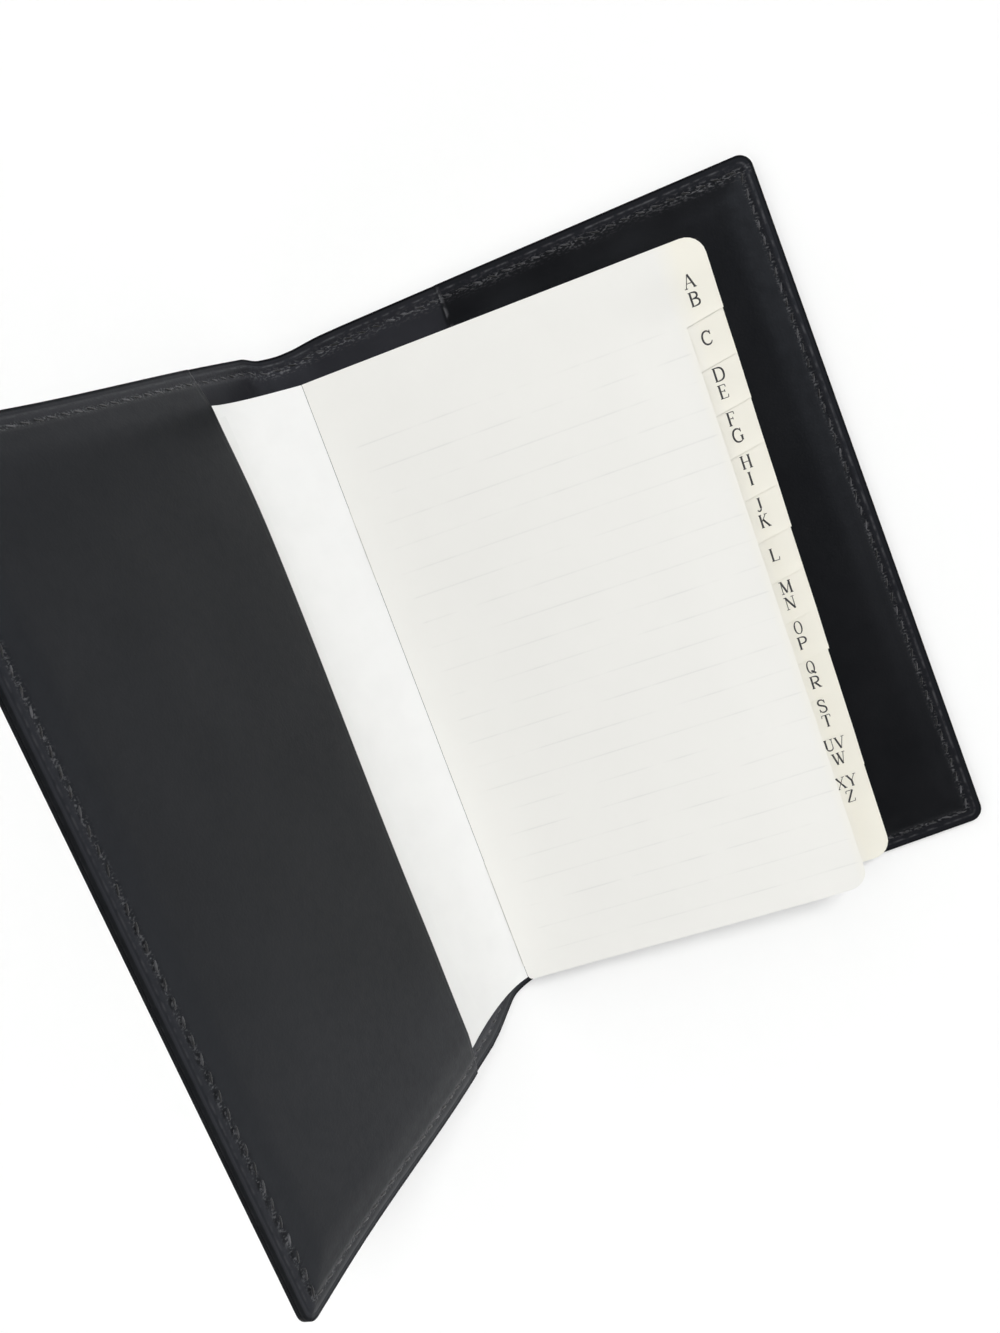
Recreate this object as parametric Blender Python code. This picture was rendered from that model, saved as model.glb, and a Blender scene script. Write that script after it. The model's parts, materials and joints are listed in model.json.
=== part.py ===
"""A leather planner standing open, with a thumb-indexed address booklet in its pockets.

The right cover lies flat on the table and carries the booklet. The spine strip and the
left cover fold up from it at two creases, and the left cover's flap holds the front card.
Every piece is drawn as it lies when the planner is spread flat, in the frame of the empty
that carries it, and that empty then folds it to where it stands. Units are metres.
The origin is the centre of the right cover's outer face, with +Y towards the head.
"""
import math

import bmesh
import bpy
from mathutils import Matrix, Vector

# Covers
COVER_HEIGHT = 0.130                # head to tail
COVER_WIDTH = 0.085                 # spine crease to fore edge
SPINE_WIDTH = 0.0105                # crease to crease
CORNER_RADIUS = 0.0025              # outer corners of the leather
CREASE_GAP = 0.00015                # each piece stops this far from a crease axis
SPINE_ANGLE = math.radians(15.0)    # spine strip above the table
LEFT_ANGLE = math.radians(71.0)     # left cover above the table

# Layers, as heights above the crease axes, which lie in the lining's inner face
OUTER_LOW = -0.00145
OUTER_HIGH = -0.00050
RECESS_LOW = -0.00095               # the turned edge leaves this recess for the board
BOARD_LOW = -0.00090
BOARD_HIGH = -0.00060
LINING_LOW = -0.00040
LINING_HIGH = 0.0
POCKET_LOW = 0.00010
SLOT_HIGH = 0.00075                 # roof of the slot that a card slides in
POCKET_HIGH = 0.00130

# Board, pockets and seams
BOARD_MARGIN = 0.0045               # board edge to leather edge
BOARD_GAP = 0.0003
BOARD_CREASE_MARGIN = 0.0015        # board edge to crease
POCKET_RIM = 0.0028                 # width sewn down on three sides of a pocket
RIGHT_POCKET_EDGE = 0.0255          # pocket's free edge to crease
LEFT_POCKET_EDGE = 0.0214
SEAM_INSET = 0.0030                 # seam to leather edge
SEAM_CORNER = 0.0015                # radius where a seam turns
SEAM_CREASE_MARGIN = 0.0012         # seam's end to crease
SEAM_STEP = 0.0015                  # length over which a seam climbs onto a pocket
THREAD_RADIUS = 0.00022
THREAD_LIFT = 0.00010               # clearance between a thread and what it lies on

# Booklet
LEAF_COUNT = 14                     # index sections, one node each
PAGE_WIDTH = 0.073                  # fold to fore edge
PAGE_HEIGHT = 0.117
PAGE_CORNER = 0.0035
FOLD_X = -0.0045                    # fold of the first leaf, from the right crease
FOLD_Y = -0.0018
BOOKLET_SKEW = math.radians(2.2)    # the leaves lie turned this much, clockwise from above
LEAF_THICKNESS = 0.00036
LEAF_PITCH = 0.00045                # from one section to the next at the fold
LEAF_STAGGER = 0.00045              # each section's fold lies this much further right
LEAF_CLEARANCE = 0.0005             # leaf's edge to its own fold axis
LAST_LEAF_HEIGHT = 0.0022           # fold axis of the lowest section, clear of the seam below
FAN_ANGLE = math.radians(4.5)       # the first leaf springs up this much, the last hardly
STRIP_WIDTH = 0.006                 # thumb index strip along the fore edge
FIRST_TAB = 0.0130                  # head of the page to the end of the first tab
TAB_LENGTH = 0.0076                 # one step of the index
TAB_SLOPE = 0.0012                  # slanted lower end of a tab
CARD_LOW = 0.00025
CARD_HIGH = 0.00055
BACK_CARD_EDGE = 0.0008             # back card's fold edge, from the right crease
FRONT_CARD_EDGE = 0.0060            # front card's fold edge, from the left crease
FRONT_CARD_WIDTH = 0.066
CARD_CORNER = 0.0030
WRAP_THICKNESS = 0.0003
WRAP_OFFSET = 0.0009                # spine wrap to the row of fold axes
WRAP_FIRST_LEAF = 3                 # the wrap runs from this section's fold to the last one's
SEWING_LENGTH = 0.084               # thread seen in the gutter
SEWING_RADIUS = 0.00016
SEWING_OFFSET = 0.0008              # gutter thread, left of the first fold

ARC_STEPS = 5
TUBE_STEPS = 1
ROOT_X = -COVER_WIDTH / 2           # right crease, from the origin
AXIS_HEIGHT = -OUTER_LOW            # crease axes above the table
FOLD_HEIGHT = LAST_LEAF_HEIGHT + (LEAF_COUNT - 1) * LEAF_PITCH

parts = bpy.data.collections.new("leather_planner")
cutters = bpy.data.collections.new("cutters")


def material(name, colour, roughness):
    """Principled material with a plain colour."""
    made = bpy.data.materials.new(name)
    made.use_nodes = True
    shader = made.node_tree.nodes["Principled BSDF"]
    shader.inputs["Base Color"].default_value = (*colour, 1.0)
    shader.inputs["Roughness"].default_value = roughness
    shader.inputs["Metallic"].default_value = 0.0
    return made


def empty(name, parent=None, location=(0.0, 0.0, 0.0), rotation=(0.0, 0.0, 0.0)):
    """Empty that carries the pieces of one body."""
    made = bpy.data.objects.new(name, None)
    made.empty_display_size = 0.01
    made.parent = parent
    made.location = location
    made.rotation_euler = rotation
    parts.objects.link(made)
    return made


def rounded(corners):
    """Outline through (x, y, radius) corners, with an arc at each corner that has a radius."""
    outline = []
    for i, (x, y, radius) in enumerate(corners):
        corner = Vector((x, y))
        if radius == 0.0:
            outline.append(corner)
            continue
        before = (Vector(corners[i - 1][:2]) - corner).normalized()
        after = (Vector(corners[(i + 1) % len(corners)][:2]) - corner).normalized()
        half = before.angle(after) / 2
        centre = corner + (before + after).normalized() * radius / math.sin(half)
        start = corner + before * radius / math.tan(half) - centre
        end = corner + after * radius / math.tan(half) - centre
        outline += [centre + start.slerp(end, step / ARC_STEPS) * radius for step in range(ARC_STEPS + 1)]
    return outline


def mirrored(corners, side):
    """The same corners on the right (side 1) or the left (side -1) of a crease."""
    return [(side * x, y, radius) for x, y, radius in corners]


def add_part(name, data, finish, parent):
    """One sub-part's object, with its own material."""
    made = bpy.data.objects.new(name, data)
    data.materials.clear()
    data.materials.append(finish)
    made.parent = parent
    parts.objects.link(made)
    return made


def plate(name, outline, low, high, finish, parent):
    """Flat outline extruded between two heights, welded into a mesh."""
    curve = bpy.data.curves.new(name, "CURVE")
    curve.dimensions = "2D"
    curve.fill_mode = "BOTH"
    curve.extrude = (high - low) / 2
    spline = curve.splines.new("POLY")
    spline.points.add(len(outline) - 1)
    for point, (x, y) in zip(spline.points, outline):
        point.co = (x, y, 0.0, 1.0)
    spline.use_cyclic_u = True
    guide = bpy.data.objects.new(name, curve)
    parts.objects.link(guide)
    depsgraph = bpy.context.evaluated_depsgraph_get()
    mesh = bpy.data.meshes.new_from_object(guide.evaluated_get(depsgraph))
    bpy.data.objects.remove(guide)
    bpy.data.curves.remove(curve)
    mesh.transform(Matrix.Translation((0.0, 0.0, (low + high) / 2)))
    shell = bmesh.new()
    shell.from_mesh(mesh)
    bmesh.ops.remove_doubles(shell, verts=shell.verts, dist=1e-6)
    bmesh.ops.recalc_face_normals(shell, faces=shell.faces)
    shell.to_mesh(mesh)
    shell.free()
    mesh.name = name
    return add_part(name, mesh, finish, parent)


def tube(name, points, radius, finish, parent):
    """Thread along a route."""
    curve = bpy.data.curves.new(name, "CURVE")
    curve.dimensions = "3D"
    curve.bevel_depth = radius
    curve.bevel_resolution = TUBE_STEPS
    curve.use_fill_caps = True
    spline = curve.splines.new("POLY")
    spline.points.add(len(points) - 1)
    for point, place in zip(spline.points, points):
        point.co = (*place, 1.0)
    return add_part(name, curve, finish, parent)


def cut_box(target, low, high):
    """Cut a box, given by two corners in the target's frame, out of a part."""
    low, high = Vector(low), Vector(high)
    block = bmesh.new()
    bmesh.ops.create_cube(block, size=1.0)
    bmesh.ops.scale(block, vec=high - low, verts=block.verts)
    bmesh.ops.translate(block, vec=(low + high) / 2, verts=block.verts)
    mesh = bpy.data.meshes.new(target.name + "_cutter")
    block.to_mesh(mesh)
    block.free()
    cutter = bpy.data.objects.new(mesh.name, mesh)
    cutter.parent = target.parent
    cutter.hide_render = True
    cutter.display_type = "WIRE"
    cutters.objects.link(cutter)
    boolean = target.modifiers.new("recess", "BOOLEAN")
    boolean.operation = "DIFFERENCE"
    boolean.solver = "EXACT"
    boolean.object = cutter


def span(a, b, side):
    """Two distances from a crease as ordered x values on one side of it."""
    return sorted((side * a, side * b))


def cover_outline(start, side):
    """A cover's outline from a distance off the crease to the fore edge."""
    half = COVER_HEIGHT / 2
    corners = [
        (start, -half, 0.0),
        (COVER_WIDTH, -half, CORNER_RADIUS),
        (COVER_WIDTH, half, CORNER_RADIUS),
        (start, half, 0.0),
    ]
    return rounded(mirrored(corners, side))


def outer_leather(word, side, parent):
    """Outer leather, with its edge turned in around a recess for the board."""
    leather = plate(f"{word}_outer_leather", cover_outline(CREASE_GAP, side),
                    OUTER_LOW, OUTER_HIGH, OUTER_FINISH, parent)
    near, far = span(BOARD_CREASE_MARGIN, COVER_WIDTH - BOARD_MARGIN, side)
    edge = COVER_HEIGHT / 2 - BOARD_MARGIN
    cut_box(leather, (near, -edge, RECESS_LOW), (far, edge, LINING_HIGH))


def stiffener_board(word, side, parent):
    """Thin board in the recess, which keeps the cover flat."""
    near, far = span(BOARD_CREASE_MARGIN + BOARD_GAP, COVER_WIDTH - BOARD_MARGIN - BOARD_GAP, side)
    edge = COVER_HEIGHT / 2 - BOARD_MARGIN - BOARD_GAP
    outline = [(near, -edge), (far, -edge), (far, edge), (near, edge)]
    plate(f"{word}_board", outline, BOARD_LOW, BOARD_HIGH, BOARD_FINISH, parent)


def lining(word, side, parent):
    """Lining leather, which carries the pocket."""
    plate(f"{word}_lining", cover_outline(CREASE_GAP, side), LINING_LOW, LINING_HIGH,
          LINING_FINISH, parent)


def pocket(word, side, free_edge, parent):
    """Pocket panel sewn down on three sides, open towards the spine."""
    panel = plate(f"{word}_pocket", cover_outline(free_edge, side), POCKET_LOW, POCKET_HIGH,
                  POCKET_FINISH, parent)
    near, far = span(free_edge - POCKET_RIM, COVER_WIDTH - POCKET_RIM, side)
    edge = COVER_HEIGHT / 2 - POCKET_RIM
    cut_box(panel, (near, -edge, LINING_LOW), (far, edge, SLOT_HIGH))


def cover_seam(word, side, free_edge, parent):
    """Thread along head, fore edge and tail, which climbs from the lining onto the pocket."""
    edge = COVER_HEIGHT / 2 - SEAM_INSET
    fore = COVER_WIDTH - SEAM_INSET
    foot = free_edge - THREAD_LIFT - SEAM_STEP
    step = free_edge - THREAD_LIFT
    head = [(SEAM_CREASE_MARGIN, edge, 0.0), (foot, edge, 0.0), (step, edge, 0.0)]
    tail = [(x, -y, radius) for x, y, radius in reversed(head)]
    turns = [(fore, edge, SEAM_CORNER), (fore, -edge, SEAM_CORNER)]
    route = []
    for x, y in rounded(head + turns + tail):
        under = POCKET_HIGH if x > foot else LINING_HIGH
        route.append((side * x, y, under + THREAD_LIFT + THREAD_RADIUS))
    tube(f"{word}_seam_thread", route, THREAD_RADIUS, THREAD_FINISH, parent)


def cover(word, side, free_edge, parent):
    """All the pieces of one cover."""
    outer_leather(word, side, parent)
    stiffener_board(word, side, parent)
    lining(word, side, parent)
    pocket(word, side, free_edge, parent)
    cover_seam(word, side, free_edge, parent)


def spine(parent):
    """Spine strip between the creases, with its seam at head and tail."""
    half = COVER_HEIGHT / 2
    left, right = CREASE_GAP - SPINE_WIDTH, -CREASE_GAP
    outline = [(left, -half), (right, -half), (right, half), (left, half)]
    plate("spine_outer_leather", outline, OUTER_LOW, OUTER_HIGH, OUTER_FINISH, parent)
    plate("spine_lining", outline, LINING_LOW, LINING_HIGH, LINING_FINISH, parent)
    height = LINING_HIGH + THREAD_LIFT + THREAD_RADIUS
    ends = (SEAM_CREASE_MARGIN - SPINE_WIDTH, -SEAM_CREASE_MARGIN)
    for word, y in (("head", half - SEAM_INSET), ("tail", SEAM_INSET - half)):
        tube(f"spine_{word}_thread", [(x, y, height) for x in ends], THREAD_RADIUS,
             THREAD_FINISH, parent)


def card_outline(near, far, side):
    """A booklet card's outline, with round corners at the fore edge."""
    low, high = FOLD_Y - PAGE_HEIGHT / 2, FOLD_Y + PAGE_HEIGHT / 2
    corners = [(near, low, 0.0), (far, low, CARD_CORNER), (far, high, CARD_CORNER), (near, high, 0.0)]
    return rounded(mirrored(corners, side))


def leaf_outline(number, stagger):
    """An index section's outline: the fore edge is cut back below its own tab."""
    half = PAGE_HEIGHT / 2
    full = PAGE_WIDTH - stagger
    narrow = full - STRIP_WIDTH
    tab_end = half - FIRST_TAB - (number - 1) * TAB_LENGTH
    if number == LEAF_COUNT:
        fore_edge = [(full, -half, PAGE_CORNER)]
    else:
        fore_edge = [(narrow, -half, PAGE_CORNER), (narrow, tab_end - TAB_SLOPE, 0.0), (full, tab_end, 0.0)]
    corners = [(LEAF_CLEARANCE, -half, 0.0), *fore_edge, (full, half, PAGE_CORNER), (LEAF_CLEARANCE, half, 0.0)]
    return rounded(corners)


def leaves(parent):
    """The index sections, each hinged on its own fold axis and fanned a little."""
    for number in range(1, LEAF_COUNT + 1):
        below = number - 1
        leaf = plate(f"leaf_{number:02d}", leaf_outline(number, below * LEAF_STAGGER),
                     -LEAF_THICKNESS / 2, LEAF_THICKNESS / 2, PAPER_FINISH, parent)
        leaf.location = (below * LEAF_STAGGER, 0.0, -below * LEAF_PITCH)
        leaf.rotation_euler = (0.0, -FAN_ANGLE * (LEAF_COUNT - below) / LEAF_COUNT, 0.0)


def spine_wrap(parent):
    """Part of the card that wraps the booklet's back, beside the row of fold axes."""
    first, last = WRAP_FIRST_LEAF - 1, LEAF_COUNT - 1
    middle = (first + last) / 2
    row = Vector((LEAF_STAGGER, -LEAF_PITCH))
    aside = Vector((row.y, -row.x)).normalized() * WRAP_OFFSET
    width = row.length * (last - first)
    half = PAGE_HEIGHT / 2
    outline = [(-width / 2, -half), (width / 2, -half), (width / 2, half), (-width / 2, half)]
    wrap = plate("booklet_spine_wrap", outline, -WRAP_THICKNESS / 2, WRAP_THICKNESS / 2, CARD_FINISH, parent)
    wrap.location = (row.x * middle + aside.x, 0.0, row.y * middle + aside.y)
    wrap.rotation_euler = (0.0, math.atan2(LEAF_PITCH, LEAF_STAGGER), 0.0)


for old in list(bpy.data.objects):
    bpy.data.objects.remove(old, do_unlink=True)
bpy.context.scene.collection.children.link(parts)
bpy.context.scene.collection.children.link(cutters)

OUTER_FINISH = material("black_calf", (0.017, 0.018, 0.020), 0.42)
LINING_FINISH = material("black_lining", (0.011, 0.011, 0.012), 0.55)
POCKET_FINISH = material("black_pocket_calf", (0.028, 0.030, 0.033), 0.45)
THREAD_FINISH = material("waxed_thread", (0.045, 0.045, 0.047), 0.50)
BOARD_FINISH = material("grey_board", (0.30, 0.29, 0.27), 0.90)
PAPER_FINISH = material("ivory_paper", (0.83, 0.83, 0.79), 0.80)
CARD_FINISH = material("white_card", (0.88, 0.88, 0.87), 0.70)
SEWING_FINISH = material("cotton_thread", (0.55, 0.54, 0.51), 0.85)

right_crease = empty("right_crease", location=(ROOT_X, 0.0, AXIS_HEIGHT))
spine_fold = empty("spine_fold", right_crease, rotation=(0.0, SPINE_ANGLE, 0.0))
left_fold = empty("left_fold", spine_fold, (-SPINE_WIDTH, 0.0, 0.0), (0.0, LEFT_ANGLE - SPINE_ANGLE, 0.0))
block_fold = empty("block_fold", right_crease, (FOLD_X, FOLD_Y, FOLD_HEIGHT), (0.0, 0.0, -BOOKLET_SKEW))

cover("right", 1, RIGHT_POCKET_EDGE, right_crease)
cover("left", -1, LEFT_POCKET_EDGE, left_fold)
spine(spine_fold)
plate("back_card", card_outline(BACK_CARD_EDGE, FOLD_X + PAGE_WIDTH, 1), CARD_LOW, CARD_HIGH,
      CARD_FINISH, right_crease)
plate("front_card", card_outline(FRONT_CARD_EDGE, FRONT_CARD_EDGE + FRONT_CARD_WIDTH, -1),
      CARD_LOW, CARD_HIGH, CARD_FINISH, left_fold)
leaves(block_fold)
spine_wrap(block_fold)
gutter = [(-SEWING_OFFSET, -SEWING_LENGTH / 2, 0.0), (-SEWING_OFFSET, SEWING_LENGTH / 2, 0.0)]
tube("sewing_thread", gutter, SEWING_RADIUS, SEWING_FINISH, block_fold)
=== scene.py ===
# %% [markdown]
# # A leather planner with a thumb-indexed booklet
# The planner lies open on a table: a black calf cover with two stitched pockets, and
# an address booklet whose cards are tucked into them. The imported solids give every
# size and every joint. This lesson dresses them one piece at a time, from the camera
# and the light to leather, thread, paper and lettering.

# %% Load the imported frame
import json
import math

import bmesh
import bpy
from mathutils import Matrix, Vector, noise


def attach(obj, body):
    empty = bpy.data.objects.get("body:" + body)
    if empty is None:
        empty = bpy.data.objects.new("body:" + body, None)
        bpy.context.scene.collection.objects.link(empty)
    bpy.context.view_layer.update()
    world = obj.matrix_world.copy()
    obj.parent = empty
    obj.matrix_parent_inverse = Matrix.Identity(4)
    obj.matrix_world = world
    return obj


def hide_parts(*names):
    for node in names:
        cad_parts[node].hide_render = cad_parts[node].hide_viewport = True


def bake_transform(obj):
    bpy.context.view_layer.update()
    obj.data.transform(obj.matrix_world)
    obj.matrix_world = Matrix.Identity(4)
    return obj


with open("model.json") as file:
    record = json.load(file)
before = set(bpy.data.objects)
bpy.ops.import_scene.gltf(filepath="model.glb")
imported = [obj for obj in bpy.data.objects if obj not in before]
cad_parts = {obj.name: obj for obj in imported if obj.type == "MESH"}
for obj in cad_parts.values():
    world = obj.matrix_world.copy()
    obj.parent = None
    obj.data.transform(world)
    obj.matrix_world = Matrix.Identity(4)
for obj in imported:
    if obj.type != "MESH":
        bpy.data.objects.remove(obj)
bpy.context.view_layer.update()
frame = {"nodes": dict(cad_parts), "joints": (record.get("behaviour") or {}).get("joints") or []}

MM = 0.001
joints = {joint["name"]: joint for joint in frame["joints"]}

# %% [markdown]
# ## Small helpers
# Colours are easiest to read as the hex values of a colour picker, but the renderer
# works in linear light, so one function converts them. Node trees are written as code
# here. One function adds any shader node: its settings come as keywords, and its inputs
# as a dictionary of values, or of nodes and sockets to link from. A material is made
# from a recipe, a function that adds nodes and returns the inputs of the shader.

# %% Colour, node and piece helpers
def linear(hex_colour):
    """A hex colour as linear red, green, blue and alpha."""
    channels = [int(hex_colour[i:i + 2], 16) / 255 for i in (1, 3, 5)]
    return (*[c / 12.92 if c <= 0.04045 else ((c + 0.055) / 1.055) ** 2.4 for c in channels], 1.0)


def add_node(tree, kind, inputs=None, **settings):
    """Adds a shader node with its settings; an input is a value, or a node or socket to link from."""
    node = tree.nodes.new("ShaderNode" + kind)
    for name, value in settings.items():
        setattr(node, name, value)
    for socket, value in (inputs or {}).items():
        if isinstance(value, bpy.types.Node):
            value = next(output for output in value.outputs if output.enabled)
        if isinstance(value, bpy.types.NodeSocket):
            tree.links.new(value, node.inputs[socket])
        else:
            node.inputs[socket].default_value = value
    return node


def make_material(name, recipe, *details):
    """A new material whose recipe adds nodes to its tree and returns the shader's inputs."""
    material = bpy.data.materials.new(name)
    material.use_nodes = True
    tree = material.node_tree
    tree.nodes.clear()
    shader = add_node(tree, "BsdfPrincipled", recipe(tree, *details))
    add_node(tree, "OutputMaterial", {"Surface": shader})
    print("material:", name)
    return material


def ease(x):
    """0 below 0, 1 above 1, and a smooth step between."""
    x = min(1.0, max(0.0, x))
    return x * x * (3 - 2 * x)


def hump(x, centre, width):
    """A smooth bump of height 1 at the centre."""
    return math.exp(-((x - centre) / width) ** 2)


def add_object(name, bm, material, sharp=math.radians(40)):
    """Turns a finished bmesh into an object at the origin."""
    mesh = bpy.data.meshes.new(name)
    bm.to_mesh(mesh)
    bm.free()
    mesh.materials.append(material)
    mesh.shade_smooth()
    mesh.set_sharp_from_angle(angle=sharp)
    obj = bpy.data.objects.new(name, mesh)
    bpy.context.scene.collection.objects.link(obj)
    print(f"{name}: {len(mesh.polygons)} faces")
    return obj


print("white is", linear("#FFFFFF"))

# %% [markdown]
# ## The camera
# The photograph looks almost straight down from about 23 cm, with the spine turned
# about 22 degrees. Its lens is given as a focal length in pixels, because the image
# is 1333 pixels tall and Blender's sensor then stands for that longer side. A small
# shift puts the optical axis a little above the middle of the frame.

# %% Camera
IMAGE_HEIGHT = 1333
FOCAL_PIXELS = 1235.14
AXIS_ROW = 633.0
SENSOR = 36.0
EYE = Vector((-2.57, 37.72, 230.21)) * MM
AIM = Vector((-30.05, 1.57, 0.0)) * MM
HEADING = math.radians(22.19)

ahead = (AIM - EYE).normalized()
across = ahead.cross(Vector((math.sin(HEADING), math.cos(HEADING), 0.0))).normalized()
above = across.cross(ahead)
lens = bpy.data.cameras.new("photo_camera")
lens.sensor_width = SENSOR
lens.lens = SENSOR * FOCAL_PIXELS / IMAGE_HEIGHT
lens.shift_y = (AXIS_ROW - IMAGE_HEIGHT / 2) / IMAGE_HEIGHT
lens.clip_start = 10 * MM
camera = bpy.data.objects.new("photo_camera", lens)
camera.matrix_world = Matrix((across, above, -ahead)).transposed().to_4x4()
camera.location = EYE
bpy.context.scene.collection.objects.link(camera)
bpy.context.scene.camera = camera
print(f"lens {lens.lens:.2f} mm, shift {lens.shift_y:.4f}")

# %% [markdown]
# ## Floor, backdrop and light
# A product table has a pale floor that runs up into a pale wall, and large soft lamps
# on its sides. The floor is a disc that keeps the planner's shadow. The wall is an
# extruded rim, and a taller one above it only fills the view from low down. They glow
# for the eye and for reflections through the Light Path node, so no extra light falls
# on the planner. The sky stays dim, because black leather that lies flat mirrors what
# is overhead.

# %% Floor and backdrop
FLOOR_RADIUS = 1.6
FLOOR_DROP = 0.2 * MM
WALL_STEPS = [(1.06, 0.02), (1.11, 0.08), (1.14, 0.2), (1.15, 0.75)]   # radius factor, height in m
VEIL_STEPS = [(1.15, 2.2)]
ROUND = 64                 # sides of the disc and of the walls
STAGE_COLOUR, FLOOR_GLOW, WALL_GLOW = "#F2F2F1", 0.11, 0.95


def stage_paint(tree, glow):
    """Pale matt paint that glows a little, but only for what looks at it directly."""
    path = add_node(tree, "LightPath")
    seen = path.outputs["Is Camera Ray"]
    for ray in ("Is Glossy Ray", "Is Transmission Ray"):
        seen = add_node(tree, "Math", {0: seen, 1: path.outputs[ray]}, operation="ADD")
    strength = add_node(tree, "Math", {0: seen, 1: glow}, operation="MULTIPLY")
    return {"Base Color": linear(STAGE_COLOUR), "Roughness": 0.9, "Specular IOR Level": 0.1,
            "Emission Color": (1.0, 1.0, 1.0, 1.0), "Emission Strength": strength}


bm = bmesh.new()
bmesh.ops.create_circle(bm, cap_ends=True, segments=ROUND, radius=FLOOR_RADIUS,
                        matrix=Matrix.Translation((0.0, 0.0, -FLOOR_DROP)))
floor = add_object("floor", bm, make_material("matt_white_table", stage_paint, FLOOR_GLOW))
white_wall = make_material("matt_white_wall", stage_paint, WALL_GLOW)


def round_wall(name, start, steps):
    """A round wall: a circle whose rim is extruded from step to step."""
    bm = bmesh.new()
    bmesh.ops.create_circle(bm, segments=ROUND, radius=FLOOR_RADIUS * start[0],
                            matrix=Matrix.Translation((0.0, 0.0, start[1])))
    rim = bm.edges[:]
    for factor, height in steps:
        made = bmesh.ops.extrude_edge_only(bm, edges=rim)["geom"]
        rim = [g for g in made if isinstance(g, bmesh.types.BMEdge)]
        for vert in [g for g in made if isinstance(g, bmesh.types.BMVert)]:
            flat = vert.co.xy.normalized() * FLOOR_RADIUS * factor
            vert.co = (flat.x, flat.y, height)
    wall = add_object(name, bm, white_wall)
    wall.visible_shadow = False
    return wall


backdrop = round_wall("backdrop", (1.0, -FLOOR_DROP), WALL_STEPS)
veil = round_wall("upper_backdrop", WALL_STEPS[-1], VEIL_STEPS)
veil.visible_diffuse = veil.visible_glossy = False

# %% Soft lamps and dim sky
SKY_LEVEL = 0.18
# Name, where it shines from, strength, softness in degrees, lights colours, shows in reflections.
LAMPS = [("key_light", (0.30, 0.42, 0.86), 1.86, 18, True, False),
         ("fill_light", (-0.30, 0.42, 0.86), 1.08, 90, True, False),
         ("gloss_light", (0.55, 0.15, 0.82), 0.6, 40, False, True)]
for name, direction, strength, softness, lights, mirrored in LAMPS:
    lamp = bpy.data.lights.new(name, "SUN")
    lamp.energy = strength
    lamp.angle = math.radians(softness)
    lamp_object = bpy.data.objects.new(name, lamp)
    lamp_object.rotation_euler = Vector(direction).to_track_quat("Z", "Y").to_euler()
    lamp_object.visible_diffuse = lights
    lamp_object.visible_glossy = mirrored
    bpy.context.scene.collection.objects.link(lamp_object)
world = bpy.data.worlds.new("dim_sky")
world.use_nodes = True
sky = world.node_tree.nodes["Background"]
sky.inputs["Color"].default_value = linear("#F4F6FA")
sky.inputs["Strength"].default_value = SKY_LEVEL
bpy.context.scene.world = world
bpy.context.scene.view_settings.view_transform = "Standard"
print(f"{len(LAMPS)} soft lamps, sky at {SKY_LEVEL}")

# %% [markdown]
# ## One folded sheet
# The cover is one long sheet of leather that lies flat on the right, bends up a little
# at the right crease, and bends up steeply at the left crease. It is easiest to draw
# each layer flat and then fold it. A flat point has a run (from the right crease
# towards the left), a y along the spine and a height over the lining. The two bends
# are quadratic curves, so that leather never kinks the way a hinge does.

# %% Cover measures and the fold map
RIGHT_CREASE = Vector(joints["spine_fold"]["pos_m"])
LEFT_CREASE = Vector(joints["left_cover_fold"]["pos_m"])
SPINE = (LEFT_CREASE - RIGHT_CREASE).length
RIGHT_WAY = Vector((-1.0, 0.0, 0.0))
SPINE_WAY = (LEFT_CREASE - RIGHT_CREASE).normalized()
LEFT_WAY = Vector(joints["front_card_tuck"]["axis"])
COVER_WIDTH = 85 * MM
HALF_HEIGHT = 65 * MM
MID_SPINE = SPINE / 2
RIGHT_BEND = 3.0 * MM      # half length of the soft bend at each crease
LEFT_BEND = 4.5 * MM
CORNER = 2.5 * MM


def bent(corner, way_in, way_out, half, run):
    """Point and direction on a soft bend, run from -half to half."""
    t = (run + half) / (2 * half)
    start, end = corner - way_in * half, corner + way_out * half
    point = start * (1 - t) ** 2 + corner * (2 * t * (1 - t)) + end * t * t
    return point, ((corner - start) * (1 - t) + (end - corner) * t).normalized()


def folded(run, y, height):
    """A point of the flat cover, folded into its place."""
    if abs(run) < RIGHT_BEND:
        point, way = bent(RIGHT_CREASE, RIGHT_WAY, SPINE_WAY, RIGHT_BEND, run)
    elif abs(run - SPINE) < LEFT_BEND:
        point, way = bent(LEFT_CREASE, SPINE_WAY, LEFT_WAY, LEFT_BEND, run - SPINE)
    elif run < 0:
        point, way = RIGHT_CREASE + RIGHT_WAY * run, RIGHT_WAY
    elif run < SPINE:
        point, way = RIGHT_CREASE + SPINE_WAY * run, SPINE_WAY
    else:
        point, way = LEFT_CREASE + LEFT_WAY * (run - SPINE), LEFT_WAY
    return point + Vector((0.0, y, 0.0)) + Vector((way.z, 0.0, -way.x)) * height


def edge_gaps(run, y):
    """Distance to the head or tail edge, and to the nearer fore edge."""
    fore = COVER_WIDTH + run if run < MID_SPINE else SPINE + COVER_WIDTH - run
    return HALF_HEIGHT - abs(y), fore


def round_corner(run, y):
    """Turns a square corner into a round one, ring by ring."""
    end, fore = edge_gaps(run, y)
    a, b = CORNER - fore, CORNER - end
    if min(a, b) <= 0:
        return run, y
    reach, turn = (a, b / a) if a >= b else (b, 2 - a / b)
    across_gap = reach * math.cos(turn * math.pi / 4) - a
    along_gap = reach * math.sin(turn * math.pi / 4) - b
    return run + math.copysign(1, run - MID_SPINE) * across_gap, y + math.copysign(1, y) * along_gap


print(f"spine {SPINE / MM:.1f} mm, left cover stands at "
      f"{math.degrees(math.atan2(LEFT_WAY.z, -LEFT_WAY.x)):.0f} degrees")

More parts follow.
